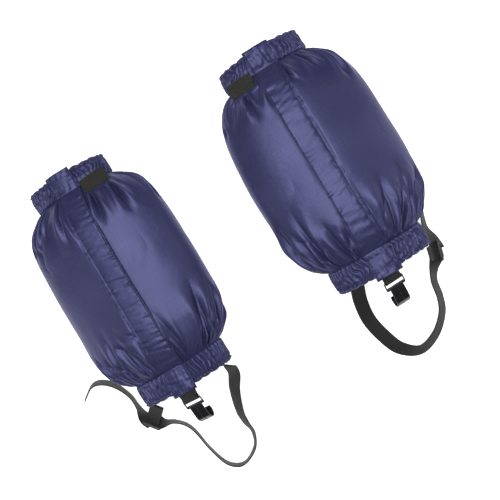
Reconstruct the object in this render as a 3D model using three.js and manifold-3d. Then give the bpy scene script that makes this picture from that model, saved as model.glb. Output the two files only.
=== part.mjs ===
// A pair of gaiters lying on their backs, fronts up, top cuffs towards +Y.
// Millimetres, +Z up. The origin is on the floor below the middle of the pair.
//
// Each gaiter is a wrap of coated cloth round an oval tube, open down its front and
// closed there by a flap with hook-and-loop tape. Cloth pieces are described by three
// numbers: how far round the tube, how far up the leg, and how high above the cloth.
import * as THREE from "three";
import { mergeVertices } from "three/addons/utils/BufferGeometryUtils.js";
import Module from "manifold-3d";

const wasm = await Module();
wasm.setup();

// Driving dimensions.
const LENGTH = 331; // bottom rim to top rim
const BODY_HALF_WIDTH = 102;
const BODY_HALF_DEPTH = 46.5;
const TOP_CUFF_HALF_WIDTH = 57;
const TOP_CUFF_HALF_DEPTH = 29;
const BOTTOM_CUFF_HALF_WIDTH = 67;
const BOTTOM_CUFF_HALF_DEPTH = 34;
const TOP_CUFF_HEIGHT = 29;
const BOTTOM_CUFF_HEIGHT = 33;
const PAIR_SPACING = 305.6; // between the centre lines of the two gaiters
const GIRTH_STEPS = 33; // facets round the tube, an odd number so that one lies on the floor
const LEG_STEPS = 15; // and along the leg between the cuffs
const CLOTH = 1.2;
const GAP = 0.35; // between pieces that lie on each other
const DEPTH_FLATTENING = 1.08; // how much sooner the depth levels off than the width

const SLIT_HALF_WIDTH = 3; // the front opening under the flap
const FLAP_STITCH_X = -13.5; // towards the outer side of the leg
const FLAP_EDGE_X = 17;
const FLAP_ROOT = 4; // the strip along the stitch line
const FLAP_OVERHANG = 2; // past the rim at the top
const FLAP_DROP = 4.5; // past the rim at the bottom
const FLAP_THICKNESS = 1;
const TAPE_THICKNESS = 1.2;
const TAPE_WIDTH = 12;
const TAPE_FROM_CUFF = 8;
const ELASTIC_THICKNESS = 1.2;

const WEBBING_WIDTH = 20;
const WEBBING_THICKNESS = 1.6;
const WEBBING_STEP = 9; // the length of one flat stretch of a curved strap
const CINCH_LENGTH = 42;
const CINCH_WIDTH = 20;
const CINCH_PAST_SEAM = 1; // how much more of it lies on the cuff than on the body

const HOOK_WIDTH = 29.5;
const HOOK_PLATE_THICKNESS = 1.6;
const HOOK_BAR = 3;
const HOOK_SLOT = 5.4;
const HOOK_STRIP = 4.6; // the plate below the slot
const HOOK_ARM = 2;
const HOOK_CORNER = 2;
const HOOK_RIB = { width: 1.6, proud: 1 }; // up the middle of the curl
const HOOK_CURL_WIDTH = 20;
const HOOK_CURL_DROP = 25; // from the plate down to the bottom of the curl
const HOOK_CURL_RADIUS = 6.4;
const HOOK_TAB_WIDTH = 24;
const HOOK_TAB_THICKNESS = 1.2;
const HOOK_PITCH = 0.2; // the hook droops by this angle
const HOOK_TURN = -0.3; // and turns to the outer side by this one

const BUCKLE_LENGTH = 29;
const BUCKLE_HEIGHT = 21;
const BUCKLE_THICKNESS = 4;
const BUCKLE_SLOT_LENGTH = 22;
const BUCKLE_SLOT = 5.5;
const BUCKLE_BAR = 4;
const BUCKLE_CORNER = 3;
const BUCKLE_Z = 13;

// The tube's centre line above the floor, with the lowest facet on the floor.
const AXIS_Z = BODY_HALF_DEPTH * Math.cos((Math.PI - SLIT_HALF_WIDTH / BODY_HALF_WIDTH) / GIRTH_STEPS);
const HOOK_DROP = { left: 15, right: 11 }; // the bottom rim to the hook's top bar
const HOOK_REACH = HOOK_DROP.left + HOOK_BAR / 2 + HOOK_SLOT + HOOK_STRIP + HOOK_CURL_DROP;
const BOTTOM_Y = -(LENGTH + FLAP_OVERHANG - HOOK_REACH) / 2;

// Half width and half depth of the tube along the leg, as shares of the way from the
// cuff's size (0) to the body's (1).
const SHOULDER = [
  [0, 0],
  [0.05, 0.42],
  [0.12, 0.74],
  [0.22, 0.95],
  [0.35, 0.99],
  [0.54, 1],
  [0.72, 0.95],
  [0.84, 0.82],
  [0.93, 0.52],
  [1, 0.02],
];
const shoulderCurve = new THREE.SplineCurve(SHOULDER.map(([x, y]) => new THREE.Vector2(x, y)));
const shoulderTable = shoulderCurve.getPoints(LEG_STEPS);

function fullness(share) {
  const s = THREE.MathUtils.clamp(share, 0, 1);
  const next = shoulderTable.findIndex((p) => p.x >= s);
  if (next <= 0) return shoulderTable[0].y;
  const [a, b] = [shoulderTable[next - 1], shoulderTable[next]];
  return Math.min(THREE.MathUtils.mapLinear(s, a.x, b.x, a.y, b.y), 1);
}

const lower = BOTTOM_CUFF_HEIGHT;
const upper = LENGTH - TOP_CUFF_HEIGHT;

function halfSize(y, bottom, body, top, flattening) {
  if (y <= lower) return bottom;
  if (y >= upper) return top;
  const share = (y - lower) / (upper - lower);
  const cuff = share < 0.5 ? bottom : top;
  return THREE.MathUtils.lerp(cuff, body, Math.min(fullness(share) * flattening, 1));
}

// The heights of the tube's rows of facets between y0 and y1. Every cloth piece has its
// rows there, so that pieces lying on each other bend at the same places.
function rowsBetween(y0, y1) {
  const rows = shoulderTable.map((p) => THREE.MathUtils.lerp(lower, upper, p.x));
  return [y0, ...rows.filter((y) => y > y0 + GAP / 2 && y < y1 - GAP / 2), y1];
}

// The body lies flat on its back for most of its length, so its depth levels off sooner.
const halfWidth = (y) =>
  halfSize(y, BOTTOM_CUFF_HALF_WIDTH, BODY_HALF_WIDTH, TOP_CUFF_HALF_WIDTH, 1);
const halfDepth = (y) =>
  halfSize(y, BOTTOM_CUFF_HALF_DEPTH, BODY_HALF_DEPTH, TOP_CUFF_HALF_DEPTH, DEPTH_FLATTENING);

// The point at angle t from the front, y up the leg and height h above the cloth.
function onTube(t, y, h) {
  const a = halfWidth(y);
  const b = halfDepth(y);
  const normal = new THREE.Vector2(Math.sin(t) / a, Math.cos(t) / b).normalize();
  return new THREE.Vector3(a * Math.sin(t) + normal.x * h, y, AXIS_Z + b * Math.cos(t) + normal.y * h);
}

// The angle of a line that runs straight up the front at distance x from its middle.
const angleAt = (x, y) => Math.asin(x / halfWidth(y));

function moved(geometry, place) {
  const position = geometry.getAttribute("position");
  const point = new THREE.Vector3();
  for (let i = 0; i < position.count; i += 1) {
    point.fromBufferAttribute(position, i);
    const p = place(point);
    position.setXYZ(i, p.x, p.y, p.z);
  }
  geometry.computeVertexNormals();
  return geometry;
}

// Cloth right round the tube from one side of the front opening to the other.
function wrap({ halfSpan, y0, y1, h0, h1 }) {
  const rows = rowsBetween(y0, y1);
  const box = new THREE.BoxGeometry(1, 1, 1, GIRTH_STEPS, rows.length - 1, 1);
  const slit = Math.asin(SLIT_HALF_WIDTH / halfSpan);
  return moved(box, ({ x, y, z }) => {
    const t = THREE.MathUtils.lerp(slit, 2 * Math.PI - slit, x + 0.5);
    return onTube(t, rows[Math.round((y + 0.5) * (rows.length - 1))], z > 0 ? h1 : h0);
  });
}

// A straight-sided strip up the front, from x0 to x1.
function strip({ x0, x1, y0, y1, h0, h1, across }) {
  const rows = rowsBetween(y0, y1);
  const box = new THREE.BoxGeometry(1, 1, 1, across, rows.length - 1, 1);
  return moved(box, ({ x, y, z }) => {
    const row = rows[Math.round((y + 0.5) * (rows.length - 1))];
    const t = angleAt(THREE.MathUtils.lerp(x0, x1, x + 0.5), row);
    return onTube(t, row, z > 0 ? h1 : h0);
  });
}

const BAND_STEPS = 3; // straight stretches between two points of a band

// The outline of a band of that thickness along a line of points in a plane.
function bandOutline(points, thickness) {
  const line = new THREE.SplineCurve(points.map(([x, y]) => new THREE.Vector2(x, y)));
  const count = points.length * BAND_STEPS;
  const sides = [[], []];
  for (let i = 0; i <= count; i += 1) {
    const p = line.getPoint(i / count);
    const along = line.getTangent(i / count);
    const across = new THREE.Vector2(-along.y, along.x).multiplyScalar(thickness / 2);
    sides[0].push(p.clone().add(across));
    sides[1].unshift(p.clone().sub(across));
  }
  return new THREE.Shape([...sides[0], ...sides[1]]);
}

// A shape in the (y, z) plane made as wide as that along x, centred.
function acrossX(shape, width) {
  const geometry = new THREE.ExtrudeGeometry(shape, { depth: width, bevelEnabled: false });
  const turned = new THREE.Matrix4().makeBasis(
    new THREE.Vector3(0, 1, 0),
    new THREE.Vector3(0, 0, 1),
    new THREE.Vector3(1, 0, 0),
  );
  geometry.applyMatrix4(turned);
  return geometry.translate(-width / 2, 0, 0);
}

function solid(geometry) {
  const bare = geometry.clone();
  bare.deleteAttribute("normal");
  bare.deleteAttribute("uv");
  const merged = mergeVertices(bare, 1e-4);
  return new wasm.Manifold(
    new wasm.Mesh({
      numProp: 3,
      vertProperties: merged.getAttribute("position").array,
      triVerts: new Uint32Array(merged.index.array),
    }),
  );
}

function fromSolid(body) {
  const { vertProperties, triVerts } = body.getMesh();
  const geometry = new THREE.BufferGeometry();
  geometry.setAttribute("position", new THREE.BufferAttribute(vertProperties, 3));
  geometry.setIndex(new THREE.BufferAttribute(triVerts, 1));
  geometry.computeVertexNormals();
  return geometry;
}

const cloth = { color: 0x3d3b63, roughness: 0.38, metalness: 0 };
const elastic = { color: 0x16161a, roughness: 0.9, metalness: 0 };
const webbing = { color: 0x1b1b1c, roughness: 0.85, metalness: 0 };
const olive = { color: 0x23251f, roughness: 0.85, metalness: 0 };
const tape = { color: 0x121214, roughness: 0.95, metalness: 0 };
const plastic = { color: 0x1e1e20, roughness: 0.45, metalness: 0 };
const steel = { color: 0x5c5c60, roughness: 0.3, metalness: 1 };

function piece(name, geometry, look) {
  const mesh = new THREE.Mesh(geometry, new THREE.MeshStandardMaterial(look));
  mesh.name = name;
  return mesh;
}

// --- The cloth tube and its cuffs ---

function shell() {
  return wrap({
    halfSpan: BODY_HALF_WIDTH,
    y0: lower + GAP,
    y1: upper - GAP,
    h0: -CLOTH,
    h1: 0,
  });
}

// A cuff is one strip folded over its elastic at the rim, so its section is a narrow U.
function cuffCasing(rimY, seamY, halfSpan) {
  const out = Math.sign(rimY - seamY);
  const depth = 2 * CLOTH + ELASTIC_THICKNESS + 2 * GAP;
  const fold = rimY - out * CLOTH;
  const section = new THREE.Shape(
    [
      [seamY, 0],
      [rimY, 0],
      [rimY, -depth],
      [seamY, -depth],
      [seamY, -depth + CLOTH],
      [fold, -depth + CLOTH],
      [fold, -CLOTH],
      [seamY, -CLOTH],
    ].map(([y, h]) => new THREE.Vector2(y, h)),
  );
  const t = Math.asin(SLIT_HALF_WIDTH / halfSpan);
  const extruded = new THREE.ExtrudeGeometry(section, {
    depth: 1,
    steps: GIRTH_STEPS,
    bevelEnabled: false,
  });
  return moved(extruded, ({ x, y, z }) =>
    onTube(THREE.MathUtils.lerp(t, 2 * Math.PI - t, z), x, y),
  );
}

function cuffElastic(rimY, seamY, halfSpan) {
  const out = Math.sign(rimY - seamY);
  const ends = [rimY - out * (CLOTH + GAP), seamY + out * GAP];
  return wrap({
    halfSpan,
    y0: Math.min(...ends),
    y1: Math.max(...ends),
    h0: -CLOTH - GAP - ELASTIC_THICKNESS,
    h1: -CLOTH - GAP,
  });
}

// --- The front flap and its closure ---

const LOOP_TAPE_H = GAP;
const HOOK_TAPE_H = LOOP_TAPE_H + TAPE_THICKNESS + GAP;
const FLAP_H = HOOK_TAPE_H + TAPE_THICKNESS + GAP;
const TAPE_EDGE_X = FLAP_EDGE_X - 1;

// The flap lies above both tapes, and its root comes down to the cloth where it is sewn.
function frontFlap() {
  const leaf = strip({
    x0: FLAP_STITCH_X,
    x1: FLAP_EDGE_X,
    y0: -FLAP_DROP,
    y1: LENGTH + FLAP_OVERHANG,
    h0: FLAP_H,
    h1: FLAP_H + FLAP_THICKNESS,
    across: 4,
  });
  const root = strip({
    x0: FLAP_STITCH_X + GAP,
    x1: FLAP_STITCH_X + FLAP_ROOT,
    y0: GAP,
    y1: LENGTH - GAP,
    h0: 2 * GAP,
    h1: FLAP_H + FLAP_THICKNESS / 2,
    across: 1,
  });
  return fromSolid(solid(leaf).add(solid(root)));
}

function closureTape(underside) {
  return strip({
    x0: TAPE_EDGE_X - TAPE_WIDTH,
    x1: TAPE_EDGE_X,
    y0: lower + TAPE_FROM_CUFF,
    y1: upper - TAPE_FROM_CUFF,
    h0: underside,
    h1: underside + TAPE_THICKNESS,
    across: 2,
  });
}

// The webbing tab that closes the top cuff: it starts beside the flap's edge and lies
// round the cuff's seam towards the inner side of the leg.
function cinchTab() {
  const y0 = upper - CINCH_WIDTH / 2 + CINCH_PAST_SEAM;
  const y1 = y0 + CINCH_WIDTH;
  const start = angleAt(FLAP_EDGE_X + 2 * GAP, upper);
  const span = CINCH_LENGTH / Math.hypot(TOP_CUFF_HALF_WIDTH, TOP_CUFF_HALF_DEPTH);
  const box = new THREE.BoxGeometry(1, 1, 1, 10, 2, 1);
  return moved(box, ({ x, y: v, z }) => {
    const t = start + (x + 0.5) * span;
    const h = GAP + (z + 0.5) * WEBBING_THICKNESS;
    const raised = onTube(t, upper - CINCH_WIDTH / 2, h);
    raised.y = THREE.MathUtils.lerp(y0, y1, v + 0.5);
    return raised;
  });
}

// --- The lace hook and its tab ---

// The hook's own frame has its top bar along x, +y up the leg and +z outwards.
function laceHook() {
  const top = HOOK_BAR / 2;
  const slotTop = -HOOK_BAR / 2;
  const slotBottom = slotTop - HOOK_SLOT;
  const bottom = slotBottom - HOOK_STRIP;
  const plate = new THREE.Shape([
    new THREE.Vector2(-HOOK_WIDTH / 2, top),
    new THREE.Vector2(-HOOK_WIDTH / 2, bottom + HOOK_CORNER),
    new THREE.Vector2(-HOOK_WIDTH / 2 + HOOK_CORNER, bottom),
    new THREE.Vector2(HOOK_WIDTH / 2 - HOOK_CORNER, bottom),
    new THREE.Vector2(HOOK_WIDTH / 2, bottom + HOOK_CORNER),
    new THREE.Vector2(HOOK_WIDTH / 2, top),
  ]);
  const half = HOOK_WIDTH / 2 - HOOK_ARM;
  plate.holes.push(
    new THREE.Path([
      new THREE.Vector2(-half, slotTop),
      new THREE.Vector2(half, slotTop),
      new THREE.Vector2(half, slotBottom),
      new THREE.Vector2(-half, slotBottom),
    ]),
  );
  const plateBody = new THREE.ExtrudeGeometry(plate, {
    depth: HOOK_PLATE_THICKNESS,
    bevelEnabled: false,
  }).translate(0, 0, -HOOK_PLATE_THICKNESS / 2);

  // The curl's middle line as [y, z]: down from the plate, round, and back up behind.
  const low = bottom - HOOK_CURL_DROP + HOOK_CURL_RADIUS;
  const back = -HOOK_CURL_RADIUS * 2 + 2;
  const curl = [
    [bottom + 2, 0],
    [bottom - 3, 1.2],
    [low + 4, 2],
    [low, 1.6],
    [low - HOOK_CURL_RADIUS * 0.8, -HOOK_CURL_RADIUS * 0.35],
    [low - HOOK_CURL_RADIUS * 0.8, back + HOOK_CURL_RADIUS * 0.6],
    [low + 1, back],
    [low + 7, back + 0.6],
  ];
  const band = acrossX(bandOutline(curl, HOOK_PLATE_THICKNESS), HOOK_CURL_WIDTH);
  const rib = acrossX(
    bandOutline(curl.slice(1, -1), HOOK_PLATE_THICKNESS + HOOK_RIB.proud),
    HOOK_RIB.width,
  );
  return fromSolid(solid(plateBody).add(solid(band)).add(solid(rib)));
}

// The tab is folded round the hook's top bar, loosely enough for the bar to turn in it.
// Its front leg is sewn under the flap, and it twists on the way down to the bar.
function hookTab(drop) {
  const r = Math.hypot(HOOK_BAR, HOOK_PLATE_THICKNESS) / 2 + GAP + HOOK_TAB_THICKNESS / 2;
  const sewnH = FLAP_H - 2 * HOOK_TAB_THICKNESS;
  const line = [
    [drop - GAP, sewnH],
    [drop - FLAP_DROP, sewnH],
    [r, r + 0.4],
    [0, r],
    [-r * 0.7, r * 0.7],
    [-r, 0],
    [-r * 0.7, -r * 0.7],
    [0, -r],
    [r, -r + 0.4],
    [drop - FLAP_DROP, sewnH - 2 * HOOK_TAB_THICKNESS],
  ];
  return moved(acrossX(bandOutline(line, HOOK_TAB_THICKNESS), HOOK_TAB_WIDTH), (p) => {
    const twist = THREE.MathUtils.smoothstep(drop - FLAP_DROP - p.y, 0, drop - FLAP_DROP - r);
    return p.clone().applyAxisAngle(new THREE.Vector3(0, 1, 0), HOOK_TURN * twist);
  });
}

// --- The instep strap, its buckle and the buckle's tab ---

// Points chosen along the middle of the webbing, which stands on its edge on the floor:
// across, up from the bottom rim and above the floor. Across is measured from a line that
// runs from where the strap is sewn to the cuff, a share of the cuff's half width from
// its middle, to the cuff's outer side.
const STRAP_SEWN_AT = { left: 0.8925, right: -0.6388 };
const STRAP_ROUTE = {
  left: [
    [0, -10.25, 41], [4.76, -22.25, 32], [0.51, -43.25, 17], [-0.74, -73.25, 11],
    [8.02, -92.25, 11], [19.77, -110.25, 11], [19.52, -130.25, 11], [4.28, -142.25, 11],
    [-5.97, -130.25, 11], [-7.21, -99.25, 11], [-2.46, -70.25, 11], [0.29, -53.25, 11],
    [-2.95, -41.25, 11], [-8.2, -39.25, 11],
  ],
  right: [
    [0, -7.25, 21], [-16.98, -26.25, 14], [-29.96, -55.25, 11], [-33.95, -85.25, 11],
    [-32.93, -110.25, 11], [-19.91, -125.25, 11], [-1.89, -116.25, 11], [10.13, -95.25, 11],
    [9.15, -74.25, 11], [3.16, -52.25, 11], [0.18, -38.25, 11], [-0.8, -31.25, 11],
  ],
};
// The tail's points: across from the cuff's outer side, up from the rim and above the
// floor, and how far each moves out with the body's side (1), not the cuff's (0).
const TAIL_ROUTE = {
  left: [
    [-29.2, -10.25, 11, 0], [-27.2, 0.75, 11, 0], [-12.7, 22.75, 11, 0.5],
    [-6.2, 45.75, 11, 1], [-21.2, 59.75, 11, 1], [-37.2, 62.75, 11, 1],
    [-56.2, 50.75, 11, 1],
  ],
  right: [
    [10.2, -1.25, 11, 0], [9.2, 16.75, 11, 0], [-1.3, 38.75, 11, 0.5],
    [-11.8, 60.75, 11, 1], [-7.8, 82.75, 11, 1], [-6.8, 104.75, 11, 1],
    [-8.8, 123.75, 11, 1],
  ],
};
// Across from the cuff's outer side, up from the rim, and turned about the vertical.
const BUCKLE_PLACE = {
  left: { across: -22.2, y: -28.25, turn: -0.9 },
  right: { across: 9.2, y: -18.25, turn: 1.32 },
};

// The left gaiter's outer side is towards -X.
const outwards = { left: -1, right: 1 };
const middleOf = (side) => outwards[side] * (PAIR_SPACING / 2);

function strapPoint(side, [across, y, z], share) {
  const cuff = THREE.MathUtils.lerp(STRAP_SEWN_AT[side], outwards[side], share);
  return [middleOf(side) + cuff * BOTTOM_CUFF_HALF_WIDTH + across, BOTTOM_Y + y, z];
}

function tailPoint(side, [across, y, z, withBody]) {
  const edge = THREE.MathUtils.lerp(BOTTOM_CUFF_HALF_WIDTH, BODY_HALF_WIDTH, withBody);
  return [middleOf(side) + outwards[side] * edge + across, BOTTOM_Y + y, z];
}

// Webbing along a line of points, standing on its edge all the way.
function webbingAlong(route) {
  const path = new THREE.CatmullRomCurve3(route.map((p) => new THREE.Vector3(...p)));
  const steps = Math.round(path.getLength() / WEBBING_STEP);
  const box = new THREE.BoxGeometry(1, WEBBING_THICKNESS, WEBBING_WIDTH, steps, 1, 1);
  return moved(box, ({ x, y, z }) => {
    const along = path.getTangent(x + 0.5);
    const side = new THREE.Vector3(-along.y, along.x, 0).normalize();
    const edge = new THREE.Vector3().crossVectors(along, side);
    return path.getPoint(x + 0.5).addScaledVector(side, y).addScaledVector(edge, z);
  });
}

function roundedRectangle(width, height, radius) {
  const shape = new THREE.Shape();
  const [x, y] = [width / 2 - radius, height / 2 - radius];
  const quarter = Math.PI / 2;
  [[x, y], [-x, y], [-x, -y], [x, -y]].forEach(([cx, cy], corner) => {
    shape.absarc(cx, cy, radius, corner * quarter, (corner + 1) * quarter, false);
  });
  return shape;
}

// The buckle stands with its long side along x and its two slots through y.
function buckle() {
  const frame = roundedRectangle(BUCKLE_LENGTH, BUCKLE_HEIGHT, BUCKLE_CORNER);
  const plate = new THREE.ExtrudeGeometry(frame, {
    depth: BUCKLE_THICKNESS,
    curveSegments: 4,
    bevelEnabled: false,
  });
  const slot = new THREE.BoxGeometry(BUCKLE_SLOT_LENGTH, BUCKLE_SLOT, 3 * BUCKLE_THICKNESS);
  const away = (BUCKLE_BAR + BUCKLE_SLOT) / 2;
  const cut = solid(plate)
    .subtract(solid(slot.clone().translate(0, away, 0)))
    .subtract(solid(slot.clone().translate(0, -away, 0)));
  return fromSolid(cut)
    .translate(0, 0, -BUCKLE_THICKNESS / 2)
    .rotateX(Math.PI / 2);
}

// A short doubled webbing loop from the cuff's lower rim round the buckle's middle bar,
// with room for the buckle to tilt.
// In the buckle's frame it runs towards +y and up.
function buckleTab(reach, rise) {
  const r = Math.hypot(BUCKLE_THICKNESS, BUCKLE_BAR) / 2 + GAP + WEBBING_THICKNESS / 2;
  const line = [
    [reach, rise],
    [r + 7, r + 5],
    [r, r],
    [0, r],
    [-r * 0.7, r * 0.7],
    [-r, 0],
    [-r * 0.7, -r * 0.7],
    [0, -r],
    [r, -r],
    [r + 7, r - 1],
    [reach, rise - 2 * WEBBING_THICKNESS - 1],
  ];
  return acrossX(bandOutline(line, WEBBING_THICKNESS), WEBBING_WIDTH);
}

const TAB_REACH = { left: 36, right: 17 };
const TAB_RISE = { left: 26, right: 22 };

// --- One gaiter ---

// The cloth is modelled for the left leg, whose inner side is towards +X; the right
// gaiter is its mirror image.
function gaiter(side) {
  const mirror = side === "left" ? 1 : -1;
  const named = (name) => `${side}_${name}`;
  const body = new THREE.Group();
  body.scale.x = mirror;
  body.position.set(middleOf(side), BOTTOM_Y, 0);
  body.add(
    piece(named("shell"), shell(), cloth),
    piece(named("top_cuff"), cuffCasing(LENGTH, upper, TOP_CUFF_HALF_WIDTH), cloth),
    piece(named("top_elastic"), cuffElastic(LENGTH, upper, TOP_CUFF_HALF_WIDTH), elastic),
    piece(named("bottom_cuff"), cuffCasing(0, lower, BOTTOM_CUFF_HALF_WIDTH), cloth),
    piece(named("bottom_elastic"), cuffElastic(0, lower, BOTTOM_CUFF_HALF_WIDTH), elastic),
    piece(named("front_flap"), frontFlap(), cloth),
    piece(named("loop_tape"), closureTape(LOOP_TAPE_H), tape),
    piece(named("hook_tape"), closureTape(HOOK_TAPE_H), tape),
    piece(named("cinch_tab"), cinchTab(), olive),
  );

  const drop = HOOK_DROP[side];
  const hookGroup = new THREE.Group();
  hookGroup.position.set(0, -drop, AXIS_Z + BOTTOM_CUFF_HALF_DEPTH);
  const hook = piece(named("lace_hook"), laceHook(), steel);
  hook.rotation.set(HOOK_PITCH, HOOK_TURN, 0, "YXZ");
  hookGroup.add(piece(named("hook_tab"), hookTab(drop), webbing), hook);
  body.add(hookGroup);

  const { across, y, turn } = BUCKLE_PLACE[side];
  const buckleGroup = new THREE.Group();
  buckleGroup.position.set(...strapPoint(side, [across, y, BUCKLE_Z], 1));
  buckleGroup.rotation.z = turn;
  buckleGroup.add(
    piece(named("buckle"), buckle(), plastic),
    piece(named("buckle_tab"), buckleTab(TAB_REACH[side], TAB_RISE[side]), webbing),
  );

  const route = STRAP_ROUTE[side];
  const strapRoute = route.map((point, i) => strapPoint(side, point, i / (route.length - 1)));
  const tailRoute = TAIL_ROUTE[side].map((point) => tailPoint(side, point));
  const whole = new THREE.Group();
  whole.add(
    body,
    buckleGroup,
    piece(named("instep_strap"), webbingAlong(strapRoute), webbing),
    piece(named("strap_tail"), webbingAlong(tailRoute), webbing),
  );
  return whole;
}

const pair = new THREE.Group();
pair.add(gaiter("left"), gaiter("right"));

export default pair;
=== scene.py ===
"""A pair of short gaiters in coated nylon, lying on their backs with their fronts up.

Lengths are in millimetres until a mesh is made. Each gaiter has its own axes: x across
from its middle, positive towards the other gaiter, y up the leg from the bottom rim and
z above the floor. Cloth is placed by its angle round the tube, its y and its height
above the tube.
"""

import math

import bpy
import numpy as np
from mathutils import Matrix, Vector


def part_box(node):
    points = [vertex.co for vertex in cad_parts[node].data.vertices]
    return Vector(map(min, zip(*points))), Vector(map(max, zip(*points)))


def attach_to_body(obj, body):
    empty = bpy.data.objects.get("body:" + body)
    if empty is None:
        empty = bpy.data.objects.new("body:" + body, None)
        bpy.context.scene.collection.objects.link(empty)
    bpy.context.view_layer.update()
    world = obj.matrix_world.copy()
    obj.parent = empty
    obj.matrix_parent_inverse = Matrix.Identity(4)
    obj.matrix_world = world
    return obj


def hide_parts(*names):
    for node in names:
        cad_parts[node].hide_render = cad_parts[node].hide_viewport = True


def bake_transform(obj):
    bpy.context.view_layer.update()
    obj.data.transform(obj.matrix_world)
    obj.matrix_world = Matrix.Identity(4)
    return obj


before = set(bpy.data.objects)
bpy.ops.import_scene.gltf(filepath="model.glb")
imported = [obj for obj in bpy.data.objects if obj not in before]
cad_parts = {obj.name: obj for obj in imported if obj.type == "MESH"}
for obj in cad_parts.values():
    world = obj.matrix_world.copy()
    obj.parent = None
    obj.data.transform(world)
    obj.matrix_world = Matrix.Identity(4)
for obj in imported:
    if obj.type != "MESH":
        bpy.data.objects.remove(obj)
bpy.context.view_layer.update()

MM = 0.001
TURN = 2 * math.pi
SIDES = {"left": 1, "right": -1}


def extent(node, axis):
    """The lowest and highest coordinate of a CAD node along an axis."""
    low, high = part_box(node)
    return np.array([low[axis], high[axis]]) / MM


# --- Sizes ---

MIDDLE = {side: extent(f"{side}_shell", 0).mean() for side in SIDES}
BOTTOM = extent("left_bottom_cuff", 1)[0]
LENGTH = extent("left_top_cuff", 1)[1] - BOTTOM
LOWER = extent("left_bottom_cuff", 1)[1] - BOTTOM
UPPER = extent("left_top_cuff", 1)[0] - BOTTOM
AXIS_Z = extent("left_bottom_cuff", 2).mean()
BODY_SIZE = (102.0, 46.5)
TOP_SIZE = (57.0, 29.0)
ANKLE_SIZE = (67.0, 34.0)
DEPTH_FLATTENING = 1.08
SLIT = 3.0
CASING_DEPTH = 4.3
GIRTH = 480.0  # round the fullest part, along which folds and the cloth's weave are measured
RIM_STITCH = 5.5  # from a cuff's rim to the stitches under its ruffle
SEAM_STITCH = 1.0  # and from its seam to the stitches beside that
STITCH_X = -13.5  # the seam that the flap is sewn and turns along
EDGE_STITCH_X = 14.2
FLAP_X = 17.0
FLAP_UNDERSIDE = 3.45
FLAP_ENDS = (-4.5, LENGTH + 2)
TAPE_X = (4.0, 16.0)
TAPE_ENDS = (LOWER + 8, UPPER - 8)
TAPE_THICKNESS = 1.2
TAPE_GAP = 0.35
HOOK_DROP = {"left": 15.0, "right": 11.0}
HOOK_PITCH = 0.2
HOOK_TURN = -0.3
HOOK_BAR = (3.0, 1.6)  # the section of the bar that the webbing tab goes round
HOOK_CURL = [  # along the hook from its bar, and up from its plate
    (-9.0, 0), (-14.5, 1.2), (-26.1, 2), (-30.1, 1.6), (-35.2, -2.2),
    (-35.2, -7.0), (-29.1, -10.8), (-23.1, -10.2),
]
WEBBING_WIDTH = 20.0
WEBBING_THICKNESS = 1.5
RIB_SPACING = 2.4
CLEARANCE = 0.35  # between webbing and the bar it goes round
CLOTH_WALL = 0.45
BOTTOM_RIDGES = 58
TOP_RIDGES = 46

# The share of the way from a cuff's size to the body's, at shares of the way up the body.
SHOULDER = [
    (0, 0), (0.05, 0.42), (0.12, 0.74), (0.22, 0.95), (0.35, 0.99),
    (0.54, 1), (0.72, 0.95), (0.84, 0.82), (0.93, 0.52), (1, 0.02),
]

# The webbing as [x, y, height of its lower edge, lean from standing on edge in degrees],
# in the frame of the pair.
STRAP_ROUTE = {
    "left": [
        (-93, -147, 40, 62), (-98, -163, 24, 62), (-112, -184, 8, 56), (-123, -214, 0, 44),
        (-124, -233, 0, 36), (-122, -251, 0, 24), (-132, -271, 0, 10), (-157, -283, 0, -2),
        (-177, -271, 0, -9), (-188, -240, 0, -11), (-193, -211, 0, -10), (-200, -194, 0, -8),
        (-213, -182, 0, -2), (-226, -177, 2, 20), (-236, -171, 7, 75),
    ],
    "right": [
        (110, -144, 18, 78), (103, -167, 6, 84), (100, -196, 0, 86), (106, -226, 0, 84),
        (117, -251, 0, 72), (140, -266, 0, 52), (168, -257, 0, 44), (190, -236, 0, 38),
        (199, -215, 0, 34), (203, -193, 0, 34), (211, -178, 1, 45), (222, -166, 6, 75),
    ],
}
TAIL_ROUTE = {
    "left": [
        (-240, -166, 15, 80), (-246, -155, 6, 40), (-248, -140, 0, 0), (-250, -118, 0, -6),
        (-261, -95, 0, 0), (-276, -81, 0, 8), (-292, -78, 0, 14), (-311, -90, 0, 16),
    ],
    "right": [
        (228, -156, 15, 80), (230, -142, 5, 50), (229, -124, 0, 30), (236, -102, 0, 20),
        (243, -80, 0, 15), (247, -58, 0, 5), (248, -36, 0, 0), (246, -17, 0, 0),
    ],
}
BUCKLE_PLACE = {"left": (-242, -169, -0.9), "right": (229, -159, 1.32)}
BUCKLE_Z = 13.0
TAB_REACH = {"left": 36.0, "right": 17.0}
TAB_RISE = {"left": 26.0, "right": 22.0}


# --- Meshes from arrays ---


def spline(knots, count):
    """Uniform Catmull-Rom: between two knots a cubic whose slope at each is half the
    step from the knot before it to the knot after it."""
    knots = np.asarray(knots, float)
    padded = np.vstack([2 * knots[:1] - knots[1:2], knots, 2 * knots[-1:] - knots[-2:-1]])
    at = np.linspace(0, len(knots) - 1, count)
    i = np.minimum(at.astype(int), len(knots) - 2)
    w = (at - i)[:, None]
    before, here, after, beyond = (padded[i + k] for k in range(4))
    leave, arrive = (after - before) / 2, (beyond - here) / 2
    cubic = 2 * here - 2 * after + leave + arrive
    square = 3 * after - 3 * here - 2 * leave - arrive
    return ((cubic * w + square) * w + leave) * w + here


def even_line(knots, step):
    """The spline through the knots, resampled at even steps of its length in space."""
    dense = spline(knots, 80 * len(knots))
    run = np.r_[0, np.cumsum(np.linalg.norm(np.diff(dense[:, :3], axis=0), axis=1))]
    even = np.linspace(0, run[-1], max(int(run[-1] / step), 4))
    return np.stack([np.interp(even, run, column) for column in dense.T], axis=1)


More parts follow.
